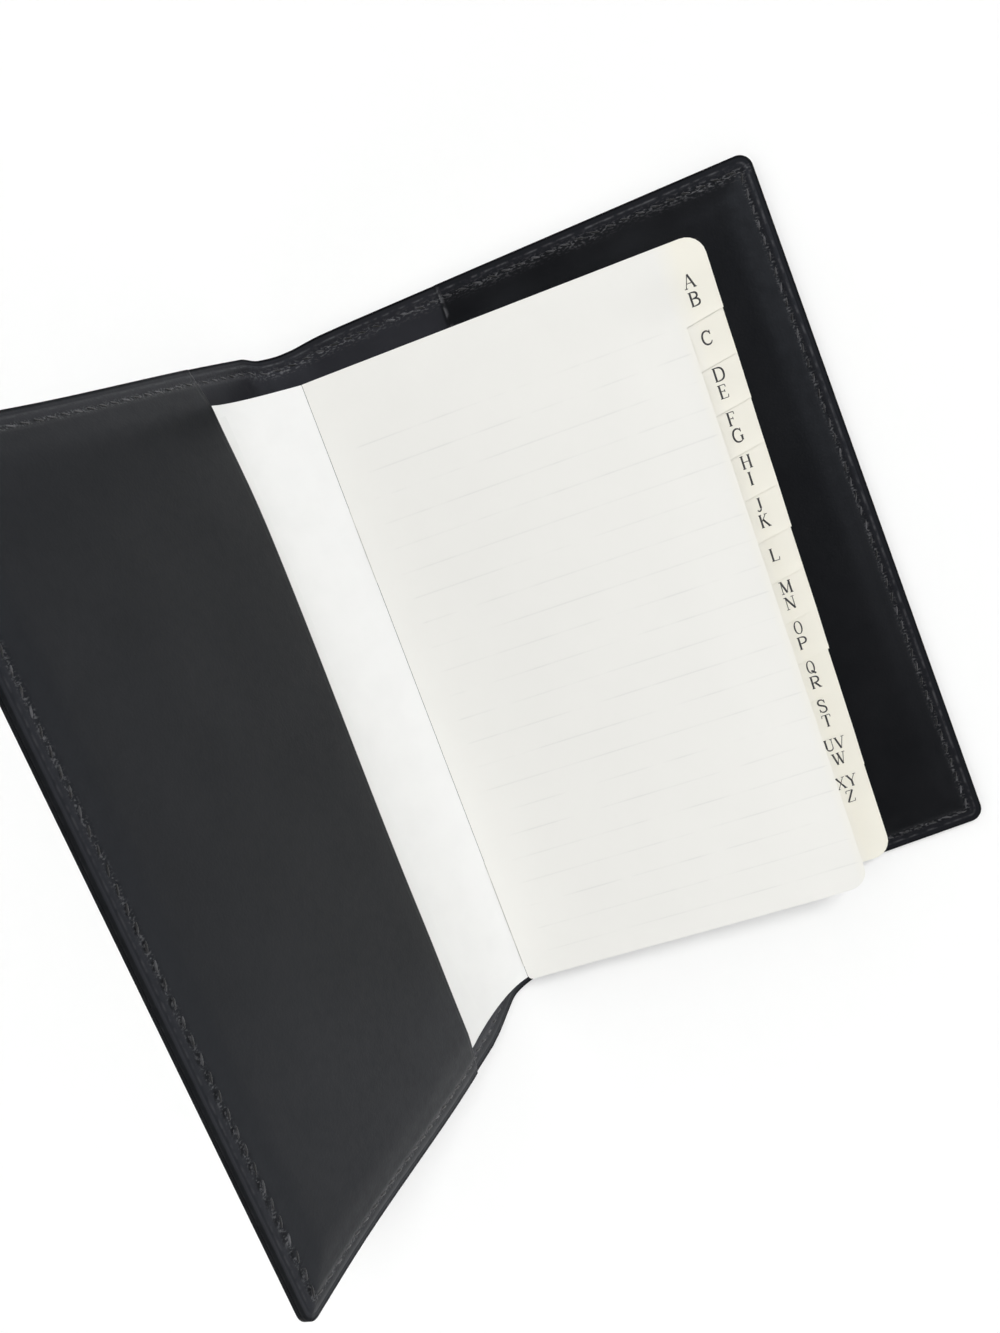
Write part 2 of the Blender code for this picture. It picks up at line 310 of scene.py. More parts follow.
# %% [markdown]
# ## Black box calf
# Box calf is chrome-tanned leather, plated smooth and dressed with a thin satin
# finish. It is almost black, with a faint blue cast, and its grain is fine: tiny
# pebbles under half a millimetre and a few soft clouds where the hide took the dye
# differently. Cut edges are inked a matt black. The margin outside the seam is a
# little paler, a painted sheen for the light that its outward tilt catches, and grey
# painted glints lie on the puckers by the seam, along a line inside the edge and along
# the right pocket's free edge. Three leathers share one recipe: outer calf, lining and pockets.

# %% Leather materials
GRAIN = 0.42 * MM          # pebble size, drawn a little coarse so that it shows
CLOUD = 14 * MM
PORE = 1.6 * MM
CRINKLE = 0.34 * MM        # puckers that sewing draws into the leather
PUCKER_DEPTH = 0.14 * MM
# The middle colour is the grey of the painted glints; the edge ink is a real matt black.
EDGE_INK, GLINT_GREY, SATIN_TINT = "#060607", "#606062", "#E6EFFF"
MARKS = ("rim", "margin_sheen", "line", "pucker")      # what a sheet's points remember for the material


def calf(tree, deep, worn, pressed, rough, grain_depth):
    """Satin calf: two dye tones in clouds, pebbled grain, puckered seams, inked edges, a painted sheen by
    the edges and painted grey glints.
    """
    place = add_node(tree, "TexCoord").outputs["Object"]
    cloud = add_node(tree, "TexNoise", {"Vector": place, "Scale": 1 / CLOUD, "Detail": 4.0})
    pebble = add_node(tree, "TexVoronoi", {"Vector": place, "Scale": 1 / GRAIN}, feature="SMOOTH_F1")
    pore = add_node(tree, "TexNoise", {"Vector": place, "Scale": 1 / PORE, "Detail": 6.0})
    rim, margin_sheen, line, pucker = [add_node(tree, "Attribute", attribute_name=mark).outputs["Fac"]
                                 for mark in MARKS]
    drawn = add_node(tree, "Mapping", {"Vector": place, "Scale": (0.5, 1.0, 1.0)})
    crinkle = add_node(tree, "TexNoise", {"Vector": drawn, "Scale": 1 / CRINKLE, "Detail": 3.0})
    tone = add_node(tree, "MapRange", {"Value": cloud, "From Min": 0.35, "From Max": 0.68})
    ridge = add_node(tree, "MapRange", {"Value": crinkle, "From Min": 0.5, "From Max": 0.66})
    # Painted glints: grey specks on the crests of the puckers.
    pucker_glints = add_node(tree, "Math", {0: ridge, 1: pucker}, operation="MULTIPLY")
    breaks = add_node(tree, "MapRange", {"Value": pore, "From Min": 0.42, "From Max": 0.6})
    # The share of painted glint grey: along the marked lines, broken by the pores, and on the pucker
    # specks.
    rubbed = add_node(tree, "Math", {0: breaks, 1: line, 2: pucker_glints},
                      operation="MULTIPLY_ADD", use_clamp=True)
    colour = linear(deep)
    # The pressed colour is a painted sheen: it makes the band outside the seam paler, for the light that
    # its outward tilt catches.
    for share, coat in ((tone, worn), (margin_sheen, pressed), (rubbed, GLINT_GREY), (rim, EDGE_INK)):
        colour = add_node(tree, "Mix", {0: share, 6: colour, 7: linear(coat)}, data_type="RGBA")
    satin = add_node(tree, "MapRange", {"Value": pore, "From Min": 0.3, "From Max": 0.7,
                                        "To Min": rough - 0.05, "To Max": rough + 0.06})
    matt = add_node(tree, "Math", {0: rim, 1: 0.35, 2: satin}, operation="MULTIPLY_ADD")
    relief = add_node(tree, "Math", {0: pore, 1: 0.8, 2: pebble.outputs["Distance"]},
                      operation="MULTIPLY_ADD")
    bump = add_node(tree, "Bump", {"Height": relief, "Strength": 0.35, "Distance": grain_depth})
    gather = add_node(tree, "Math", {0: crinkle, 1: pucker}, operation="MULTIPLY")
    bump = add_node(tree, "Bump", {"Height": gather, "Strength": 0.6, "Distance": PUCKER_DEPTH,
                                   "Normal": bump})
    return {"Base Color": colour, "Roughness": matt, "Normal": bump, "IOR": 1.5,
            "Specular IOR Level": 0.25, "Specular Tint": linear(SATIN_TINT)}


outer_calf = make_material("black_outer_calf", calf, "#0D0E10", "#141518", "#17181B", 0.40, 0.05 * MM)
lining_calf = make_material("black_lining_leather", calf, "#202023", "#28282C", "#212124", 0.44, 0.05 * MM)
pocket_calf = make_material("black_box_calf", calf, "#0B0B0C", "#121213", "#161619", 0.40, 0.04 * MM)

# %% [markdown]
# ## Cutting and folding a layer of leather
# Each layer starts as one flat rectangle. Bisect planes rule it with lines: close
# together by the edges, where a creased line and a seam run, and over the bends; wide
# apart in the middle. Extruding the ruled face gives the layer its other side, two
# height functions press the seam and the crease into it, and the fold map puts it in
# place. Point attributes remember, for the material, where the cut edge and the
# puckers are, and where the painted sheen of the margin and the painted glint lines go.

# %% Sheet helpers
SEAM = 2.55 * MM           # stitch line, from the edge
CREASE_LINE = 0.95 * MM    # creased line
GLINT_LINE, GLINT_WIDTH = 1.3 * MM, 0.13 * MM          # a painted glint line that follows it
PUCKER_LINE, PUCKER_WIDTH = 2.8 * MM, 0.75 * MM        # the gathered band just inside the seam
PUCKER_PATCH, STITCH_PUCKER = 8 * MM, 0.4 * MM
INKED, MARGIN, MARGIN_EASE = 0.3 * MM, 2.0 * MM, 0.5 * MM
PARED_OVER, EDGE_BOW, BOW_OVER = 3.4 * MM, 0.55 * MM, 30 * MM
CALM_OVER = 10 * MM        # the left cover's head is calmer: the change takes this long
EDGE_RINGS = [d * MM for d in (0.16, 0.32, 0.5, 0.65, 0.8, 0.95, 1.1, 1.2, 1.3, 1.4, 1.55, 1.95, 2.25,
                               2.55, 2.85, 3.15, 3.5, 4.2, 5.0, 6.0, 7.2, 8.6, 10.5, 13.0)]
FLAT_STEP, BEND_STEP = 4 * MM, 0.6 * MM          # line spacing in the middle and over the bends
# How folding moved the cover's ends near the left crease, in mm: pushed out this far, from
# here over this length, fading from here over this length, and drawn in this far at the spine.
HEAD_SHIFT = (0.85, -1, 4, 12, 50, 0.7)
TAIL_SHIFT = (2.2, 1, 16, 25, 50, 0.5)
DRAWN_RUN, DRAWN_WIDTH = 0.45 * SPINE, 5 * MM


def spaced(start, stop, step):
    """Evenly spaced values from start to stop, about step apart."""
    count = max(1, round(abs(stop - start) / step))
    return [start + (stop - start) * i / count for i in range(count + 1)]


def tidy_lines(values, least=0.1 * MM):
    """Sorted lines without near twins; the outermost two are kept."""
    values = sorted(values)
    kept = [values[0]]
    for value in values[1:-1]:
        if value - kept[-1] >= least and values[-1] - value >= least:
            kept.append(value)
    return kept + [values[-1]]


def cut(bm, at, across):
    """Rules one line across the whole sheet."""
    bmesh.ops.bisect_plane(bm, geom=bm.verts[:] + bm.edges[:] + bm.faces[:], plane_co=at, plane_no=across)


def ruled_sheet(runs, ys):
    """A flat rectangle ruled at the given lines."""
    bm = bmesh.new()
    bmesh.ops.create_grid(bm, x_segments=1, y_segments=1, size=0.5)
    middle = Matrix.Translation(((runs[0] + runs[-1]) / 2, (ys[0] + ys[-1]) / 2, 0.0))
    bmesh.ops.transform(bm, verts=bm.verts, matrix=middle @ Matrix.Diagonal(
        (runs[-1] - runs[0], ys[-1] - ys[0], 1.0, 1.0)))
    for run in runs[1:-1]:
        cut(bm, (run, 0.0, 0.0), (1.0, 0.0, 0.0))
    for y in ys[1:-1]:
        cut(bm, (0.0, y, 0.0), (0.0, 1.0, 0.0))
    return bm


def thickened(bm):
    """Extrudes the whole sheet into a slab and returns the points of its upper side."""
    raised = bmesh.ops.extrude_face_region(bm, geom=bm.faces[:])["geom"]
    return {g for g in raised if isinstance(g, bmesh.types.BMVert)}


def gathered(run, y):
    """How much the seam puckers the leather: in patches along the head, and finely at every stitch."""
    calm = 1 - ease((run - SPINE + 2 * MM) / CALM_OVER)
    patchy = min(1.0, max(0.25, 0.75 + 0.9 * noise.noise(Vector((run, y, 0.0)) / PUCKER_PATCH)))
    head = hump(HALF_HEIGHT - y, PUCKER_LINE, PUCKER_WIDTH) * calm * patchy
    return max(head, 0.8 * hump(min(edge_gaps(run, y)), SEAM, STITCH_PUCKER))


def pared(gap):
    """1 at the cut edge, 0 where the leather has its full thickness."""
    return 1 - ease(gap / PARED_OVER)


def bowed(run, y):
    """How far the standing left cover's edges curl outwards."""
    return EDGE_BOW * pared(min(edge_gaps(run, y))) * ease((run - SPINE) / BOW_OVER)


def laid(run, y, height):
    """A point of the cover in place, with the ends that years of folding pushed out of line."""
    out, rise, rise_over, fade, fade_over, drawn = [d * MM for d in (HEAD_SHIFT if y > 0 else TAIL_SHIFT)]
    beyond = run - SPINE
    out *= ease((beyond - rise) / rise_over) * (1 - ease((beyond - fade) / fade_over))
    shift = out - drawn * hump(run, DRAWN_RUN, DRAWN_WIDTH)
    return folded(run, y + shift * (y / HALF_HEIGHT) * (abs(y) / HALF_HEIGHT) ** 2, height - bowed(run, y))


def leather_layer(name, runs, ys, low, high, leather, slide=None, worn=None):
    """A folded layer of leather between two height functions of run and y."""
    bm = ruled_sheet(runs, ys)
    rim, margin_sheen, line, pucker = [bm.verts.layers.float.new(mark) for mark in MARKS]
    upper = thickened(bm)
    for vert in bm.verts:
        run, y = vert.co.x, vert.co.y
        height = high(run, y) if vert in upper else low(run, y)
        gap = min(edge_gaps(run, y))
        vert[rim] = 1 - ease((gap - INKED) / INKED)
        # The band outside the seam gets a painted sheen; the line mark places painted glints along the
        # creased edge, fainter on the left cover, and, through worn, along the right pocket's free edge.
        vert[margin_sheen] = 1 - ease((gap - MARGIN) / MARGIN_EASE)
        vert[line] = (0.6 - 0.4 * ease((run - SPINE) / CALM_OVER)) * hump(gap, GLINT_LINE, GLINT_WIDTH)
        vert[line] += worn(run) if worn else 0.0
        vert[pucker] = gathered(run, y)
        run += slide(run, y) if slide else 0.0
        vert.co = laid(*round_corner(run, y), height)
    bmesh.ops.recalc_face_normals(bm, faces=bm.faces[:])
    return add_object(name, bm, leather)


def half_runs(crease, way, bend):
    """Lines across one half of the cover, from mid spine to its fore edge."""
    fore = crease + way * COVER_WIDTH
    return tidy_lines([fore - way * d for d in [0.0] + EDGE_RINGS] + [MID_SPINE]
                      + spaced(crease - bend, crease + bend, BEND_STEP)
                      + spaced(crease + way * bend, fore - way * EDGE_RINGS[-1], FLAT_STEP))


RIGHT_RUNS, LEFT_RUNS = half_runs(0.0, -1, RIGHT_BEND), half_runs(SPINE, 1, LEFT_BEND)
END_LINES = tidy_lines([side * (HALF_HEIGHT - d) for d in [0.0] + EDGE_RINGS for side in (-1, 1)]
                       + spaced(-HALF_HEIGHT + EDGE_RINGS[-1], HALF_HEIGHT - EDGE_RINGS[-1], FLAT_STEP))
print(f"{len(RIGHT_RUNS)} and {len(LEFT_RUNS)} lines across, {len(END_LINES)} along")

# %% [markdown]
# ## Outer leather and lining
# The outside is one calf sheet about a millimetre thick, and a thinner black lining
# is glued inside it. Each could be one mesh over both creases, but a piece can bend
# over only one joint. So each is parted in the middle of the flat spine, where the
# two halves meet edge to edge and no bend shows.

# %% Outer leather and lining
OUTER_LOW, OUTER_HIGH, LINING_HIGH = -1.45 * MM, -0.45 * MM, 0.0
PARED_OUT, PARED_IN = 0.55 * MM, 0.3 * MM      # the edge is skived thinner
ROUNDED_OVER = 0.32 * MM
CREASE_DEPTH, CREASE_WIDTH = 0.06 * MM, 0.1 * MM


def pressed_lines(gap, rounding, furrow, furrow_width=0.5 * MM):
    """How deep the rounded edge, the creased line and the seam's furrow go into a face."""
    return (rounding * (1 - ease(gap / ROUNDED_OVER)) + CREASE_DEPTH * hump(gap, CREASE_LINE, CREASE_WIDTH)
            + furrow * hump(gap, SEAM, furrow_width))


def outer_low(run, y):
    """The outside face."""
    gap = min(edge_gaps(run, y))
    return OUTER_LOW + PARED_OUT * pared(gap) + pressed_lines(gap, 0.18 * MM, 0.15 * MM)


def lining_high(run, y):
    """The lining's face, with the same lines where no pocket covers it."""
    return LINING_HIGH - pressed_lines(min(edge_gaps(run, y)), 0.08 * MM, 0.16 * MM)


def between(run, y):
    """The glued faces of leather and lining."""
    return OUTER_HIGH


RIGHT_TURN = dict(start=folded(-RIGHT_BEND, 0.0, 0.0), end=folded(RIGHT_BEND, 0.0, 0.0))
LEFT_TURN = dict(start=folded(SPINE - LEFT_BEND, 0.0, 0.0), end=folded(SPINE + LEFT_BEND, 0.0, 0.0))
HALVES = [("right", RIGHT_RUNS, ("right_cover", "spine"), RIGHT_TURN),
          ("left", LEFT_RUNS, ("spine", "left_cover"), LEFT_TURN)]
for side, runs, bodies, turn in HALVES:
    outside = leather_layer(f"{side}_calf_outside", runs, END_LINES, outer_low, between,
                            outer_calf)
    inside = leather_layer(f"{side}_calf_lining", runs, END_LINES, between, lining_high,
                           lining_calf)
    for sheet, layer in ((outside, "outer_leather"), (inside, "lining")):
        nodes = [f"{side}_{layer}"] + ([f"spine_{layer}"] if side == "right" else [])
        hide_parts(*nodes)
        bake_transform(sheet)

# %% [markdown]
# ## Pockets
# Each pocket is a second sheet of calf, sewn down along the head, the fore edge and
# the tail and open towards the spine. Sewing pulls it into a valley at the seam, and
# beside the seam it swells over the card inside, so the right pocket shows soft uneven
# pillows at the head. The left flap's free edge stands off the card a little in the
# middle and is held down at both ends. It was cut by hand and runs slightly askew.

# %% Pockets
RIGHT_FREE = -25.5 * MM                # free edge of each pocket, as a run
LEFT_FREE = SPINE + 21.4 * MM
POCKET_SEWN, POCKET_SKIN = 0.75 * MM, 0.5 * MM
POCKET_RISE, RISE_OVER = 0.55 * MM, 5.0 * MM
PILLOW_LINE, PILLOW_WIDTH, PILLOW_SIZE = 7.0 * MM, 3.2 * MM, 9 * MM
RIGHT_PILLOW, LEFT_PILLOW = 0.42 * MM, 0.1 * MM
PILLOW_FADE = 22 * MM      # the pillows fade towards the fore edge
FLAP_LIFT, FLAP_HELD, FLAP_REACH = 0.8 * MM, 26 * MM, 16 * MM
FLAP_SKEW, FLAP_SHIFT, FLAP_EASE, FLAP_SPAN = 2.7 * MM, 0.3 * MM, 14 * MM, 50 * MM
LIP, LIP_DROP, LIP_UNDER = 0.45 * MM, 0.22 * MM, 0.2 * MM    # the free edge is rounded
LIP_CREASE, LIP_CREASE_WIDTH = 0.07 * MM, 0.17 * MM
# A painted highlight along the right pocket's free edge: how far in, and how wide.
LIP_GLINT, LIP_GLINT_WIDTH = 0.35 * MM, 0.2 * MM
GLUE = 0.02 * MM


def free_gap(run):
    """Distance from the pocket's free edge."""
    return RIGHT_FREE - run if run < MID_SPINE else run - LEFT_FREE


def flap_slide(run, y):
    """How far the left flap's uneven cut moves a point along the cover."""
    askew = FLAP_SHIFT - FLAP_SKEW * (2 * ease((y + FLAP_SPAN) / (2 * FLAP_SPAN)) - 1)
    return askew * (1 - ease(free_gap(run) / FLAP_EASE))


def pocket_high(run, y):
    """The pocket's face: burnished edge, creased line, seam valley, pillow, flat middle."""
    end, fore = edge_gaps(run, y)
    gap, free = min(end, fore), free_gap(run)
    height = (POCKET_SEWN - PARED_IN * pared(gap) - pressed_lines(gap, 0.12 * MM, 0.2 * MM, 0.55 * MM)
              + POCKET_RISE * ease((gap - SEAM) / RISE_OVER))
    swell = 0.55 + 0.9 * noise.noise(Vector((run, y, 0.0)) / PILLOW_SIZE)
    swell *= hump(HALF_HEIGHT - y, PILLOW_LINE, PILLOW_WIDTH) * ease(fore / PILLOW_FADE)
    height += (RIGHT_PILLOW if run < MID_SPINE else LEFT_PILLOW) * swell
    if run > MID_SPINE:
        height += FLAP_LIFT * ease((end - SEAM) / FLAP_HELD) * hump(free, 0.0, FLAP_REACH)
    return (height - LIP_DROP * (1 - ease(free / LIP))
            - LIP_CREASE * hump(free, CREASE_LINE, LIP_CREASE_WIDTH))


def pocket_low(run, y):
    """The inside face: glued at the seam, clear of the card beyond it."""
    gap, free = min(edge_gaps(run, y)), free_gap(run)
    inner = pocket_high(run, y) - POCKET_SKIN + LIP_UNDER * (1 - ease(free / LIP))
    return GLUE + (max(inner, GLUE) - GLUE) * ease((gap - SEAM + 0.2 * MM) / (1.6 * MM))


def lip_glint(run):
    """How much painted highlight lies along the right pocket's free edge."""
    return 0.7 * hump(run, RIGHT_FREE - LIP_GLINT, LIP_GLINT_WIDTH)


FREE_RINGS = [d * MM for d in (0.12, 0.28, 0.5, 0.9, 1.2, 1.42, 1.64, 2.2, 3.5, 5.5, 8.0, 11.0)]
right_runs = tidy_lines([run for run in RIGHT_RUNS if run < RIGHT_FREE]
                        + [RIGHT_FREE - d for d in [0.0] + FREE_RINGS]
                        + spaced(-COVER_WIDTH + EDGE_RINGS[-1], RIGHT_FREE - FREE_RINGS[-1], 2.5 * MM))
left_runs = tidy_lines([run for run in LEFT_RUNS if run > LEFT_FREE]
                       + [LEFT_FREE + d for d in [0.0] + FREE_RINGS])
# The right pocket's free edge gets a painted highlight.
for side, runs, slide, worn in (("right", right_runs, None, lip_glint),
                                ("left", left_runs, flap_slide, None)):
    pocket = leather_layer(f"{side}_calf_pocket", runs, END_LINES, pocket_low, pocket_high,
                           pocket_calf, slide, worn)
    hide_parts(f"{side}_pocket")
    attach(pocket, f"{side}_cover")

# %% [markdown]
# ## Saddle stitching
# Two needles on one waxed thread make a row of slanted stitches, about nine to the
# inch, on both faces. Every stitch is a small stretched ball whose ends sink into the
# furrow. There are hundreds, so each has only a few dozen faces. They are laid out on
# the flat sheet, like the leather, and folded with it.

# %% Waxed thread
STITCH_PITCH, STITCH_LENGTH = 2.82 * MM, 1.75 * MM
STITCH_WIDTH, STITCH_THICK = 0.38 * MM, 0.28 * MM
STITCH_SLANT = math.radians(17)
TWIST, TWIST_LEAN = 0.16 * MM, math.radians(35)
WAX_PATCH = 3 * MM


def twisted_thread(tree, dark, light, strand):
    """Twisted thread: fine strands as bump, lighter where the wax has rubbed off."""
    place = add_node(tree, "TexCoord").outputs["Object"]
    turn = add_node(tree, "Mapping", {"Vector": place, "Rotation": (0.0, 0.0, TWIST_LEAN)})
    strands = add_node(tree, "TexWave", {"Vector": turn, "Scale": 0.3 / strand, "Distortion": 1.5})
    fuzz = add_node(tree, "TexNoise", {"Vector": place, "Scale": 1 / WAX_PATCH, "Detail": 5.0})
    rub = add_node(tree, "MapRange", {"Value": fuzz, "From Min": 0.46, "From Max": 0.7})
    colour = add_node(tree, "Mix", {0: rub, 6: linear(dark), 7: linear(light)}, data_type="RGBA")
    bump = add_node(tree, "Bump", {"Height": strands, "Strength": 0.5, "Distance": 0.05 * MM})
    return {"Base Color": colour, "Roughness": 0.55, "Sheen Weight": 0.15, "Normal": bump}


waxed_thread = make_material("black_waxed_thread", twisted_thread, "#131315", "#5A5A5E", TWIST)


# %% Stitch rows
def stitch_row(bm, start, stop, surface, slant):
    """Stitches from start to stop (run, y) on a surface."""
    row = Vector(stop) - Vector(start)
    count = round(row.length / STITCH_PITCH)
    heading = math.atan2(row.y, row.x) + slant
    shape = (Matrix.Diagonal((STITCH_LENGTH / 2, STITCH_WIDTH / 2, STITCH_THICK / 2, 1.0))
             @ Matrix.Rotation(math.pi / 2, 4, "Y"))
    for i in range(count):
        run, y = Vector(start) + row * ((i + 0.5) / count)
        place = Matrix.Translation((run, y, surface(run, y))) @ Matrix.Rotation(heading, 4, "Z")
        bmesh.ops.create_uvsphere(bm, u_segments=8, v_segments=5, radius=1.0, matrix=place @ shape)
    return count


def inner_face(run, y):
    """Where a stitch lies inside the cover: on a pocket, or on the lining."""
    slide = flap_slide(LEFT_FREE, y) if run > MID_SPINE else 0.0
    on_pocket = run < RIGHT_FREE or run > LEFT_FREE + slide
    return (pocket_high(run - slide, y) if on_pocket else lining_high(run, y)) + 0.03 * MM


def outer_face(run, y):
    """Where a stitch lies outside the cover, sunk so that it stays off the table."""
    return outer_low(run, y) + 0.02 * MM


for side, runs, bodies, turn in HALVES:
    fore = runs[0] + SEAM if side == "right" else runs[-1] - SEAM
    end = HALF_HEIGHT - SEAM
    bm = bmesh.new()
    made = 0
    for surface, slant in ((inner_face, STITCH_SLANT), (outer_face, -STITCH_SLANT)):
        for start, stop in (((MID_SPINE, end), (fore, end)), ((fore, end), (fore, -end)),
                            ((fore, -end), (MID_SPINE, -end))):
            made += stitch_row(bm, start, stop, surface, slant)
    for vert in bm.verts:
        vert.co = laid(*vert.co)
    bmesh.ops.recalc_face_normals(bm, faces=bm.faces[:])
    stitches = add_object(f"{side}_saddle_stitches", bm, waxed_thread, sharp=math.pi)
    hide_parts(f"{side}_seam_thread",
                "spine_head_thread" if side == "right" else "spine_tail_thread")
    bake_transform(stitches)
    print(f"{made} stitches on the {side} half")

# %% [markdown]
# ## Board and card
# A thin grey board stiffens each cover. The booklet's own cover is a bright white
# card, uncoated and slightly fibrous. These solids are already the right shape, so
# they stay and only get a finish: pulp flecks for the board, fine tooth and a faint
# mottle for the card.

# %% Card and board materials
def pulp(tree, base, fleck, flock, tooth, rough):
    """Pressed paper pulp: mottled in two tones, with a fine tooth."""
    place = add_node(tree, "TexCoord").outputs["Object"]
    mottle = add_node(tree, "TexNoise", {"Vector": place, "Scale": 1 / flock, "Detail": 6.0})
    grain = add_node(tree, "TexNoise", {"Vector": place, "Scale": 1 / tooth, "Detail": 3.0})
    tone = add_node(tree, "MapRange", {"Value": mottle, "From Min": 0.4, "From Max": 0.66})
    colour = add_node(tree, "Mix", {0: tone, 6: linear(base), 7: linear(fleck)}, data_type="RGBA")
    bump = add_node(tree, "Bump", {"Height": grain, "Strength": 0.2, "Distance": 0.03 * MM})
    return {"Base Color": colour, "Roughness": rough, "Specular IOR Level": 0.3, "Normal": bump}


white_card = make_material("white_booklet_card", pulp, "#F6F6F4", "#F4F4F2", 6 * MM, 0.3 * MM, 0.75)
grey_board = make_material("grey_pulp_board", pulp, "#98958F", "#7F7B74", 1.2 * MM, 0.4 * MM, 0.9)
for node, material in (("right_board", grey_board), ("left_board", grey_board), ("front_card", white_card),
                       ("back_card", white_card), ("booklet_spine_wrap", white_card)):
    frame["nodes"][node].material_slots[0].material = material
    print(f"{node} is {material.name}")

# %% [markdown]
# ## The card in the gutter
# On the real booklet one card runs from the first fold under the left flap. It bends
# up soon after the fold and then spans the gutter almost straight, like a ramp, until
# it lies on the left cover. It is a ruled sheet like the leather, pressed onto a cubic
# curve from the slanted fold to the flap's uneven edge.

# %% Gutter card
FOLD = Vector(joints["page_turn"]["pos_m"])
FOLD_WAY = Vector(joints["page_turn"]["axis"])
PAGE_HEAD, PAGE_TAIL = 59.2 * MM, 60.0 * MM      # ends of the page, along the fold
CARD_TAIL = 59.5 * MM
GUTTER_GAP, GUTTER_DROP = 0.07 * MM, 0.1 * MM
CARD_MEETS, CARD_TUCKED = 1.6 * MM, 5 * MM       # meets the cover before the flap, and goes on under it
CARD_LIFT, CARD_THICK = 0.34 * MM, 0.18 * MM
CARD_START, CARD_EASE = math.radians(17), 5 * MM
HEAD_FLARE, TAIL_FLARE = 0.027, 0.0225           # the card gets wider towards the flap


def normal_of(way):
    """The inner side's normal for a direction that runs to the left."""
    return Vector((way.z, 0.0, -way.x)).normalized()


def gutter_point(share, along, lift):
    """Point of the gutter card: share 0 to 1 is the ramp, 1 to 2 lies under the flap."""
    fold = FOLD + FOLD_WAY * along - Vector((GUTTER_GAP, 0.0, GUTTER_DROP))
    flare = Vector((0.0, along * (HEAD_FLARE if along > 0 else TAIL_FLARE), 0.0))
    cover = folded(LEFT_FREE + flap_slide(LEFT_FREE, fold.y) - CARD_MEETS, fold.y, CARD_LIFT) + flare
    if share > 1:
        return cover + LEFT_WAY * CARD_TUCKED * (share - 1) + normal_of(LEFT_WAY) * lift
    leaving = fold + Vector((-math.cos(CARD_START), 0.0, math.sin(CARD_START))) * CARD_EASE + flare / 3
    arriving = cover - LEFT_WAY * CARD_EASE - flare / 3
    left = 1 - share
    point = (fold * left ** 3 + leaving * (3 * left ** 2 * share)
             + arriving * (3 * left * share ** 2) + cover * share ** 3)
    way = ((leaving - fold) * left ** 2 + (arriving - leaving) * (2 * left * share)
           + (cover - arriving) * share ** 2)
    return point + normal_of(way) * lift


bm = ruled_sheet(spaced(0.0, 1.0, 0.06) + spaced(1.0, 2.0, 0.25)[1:], spaced(-CARD_TAIL, PAGE_HEAD, 9 * MM))
upper = thickened(bm)
for vert in bm.verts:
    vert.co = gutter_point(vert.co.x, vert.co.y, 0.0 if vert in upper else -CARD_THICK)
bmesh.ops.recalc_face_normals(bm, faces=bm.faces[:])
gutter_card = add_object("gutter_card", bm, white_card)
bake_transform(gutter_card)

# %% [markdown]
# ## Index paper
# The leaves are smooth ivory writing paper with faint grey rules, and a cream film is
# laminated on the fore edge where the thumb index is cut. A leaf turns, so its pattern
# follows a map of its own: page coordinates, 125 mm to one unit of the map. The rules
# are lines at even steps of that map, thinned by a cloud as light printing is.

# %% Paper material
MAP_SIZE = 125 * MM
RULE_PITCH, RULE_WIDTH = 4.8 * MM, 0.17 * MM
RULED_FROM, RULED_TO = 5 * MM, 65 * MM
RULED_BELOW = 106 * MM
STRIP_START, STRIP_FADE = 64.6 * MM, 4 * MM
PAPER_CLOUD, PAPER_TOOTH = 9 * MM, 0.35 * MM
SHEETS = 4                 # sheets that show at a section's cut edge, parted by painted shade lines


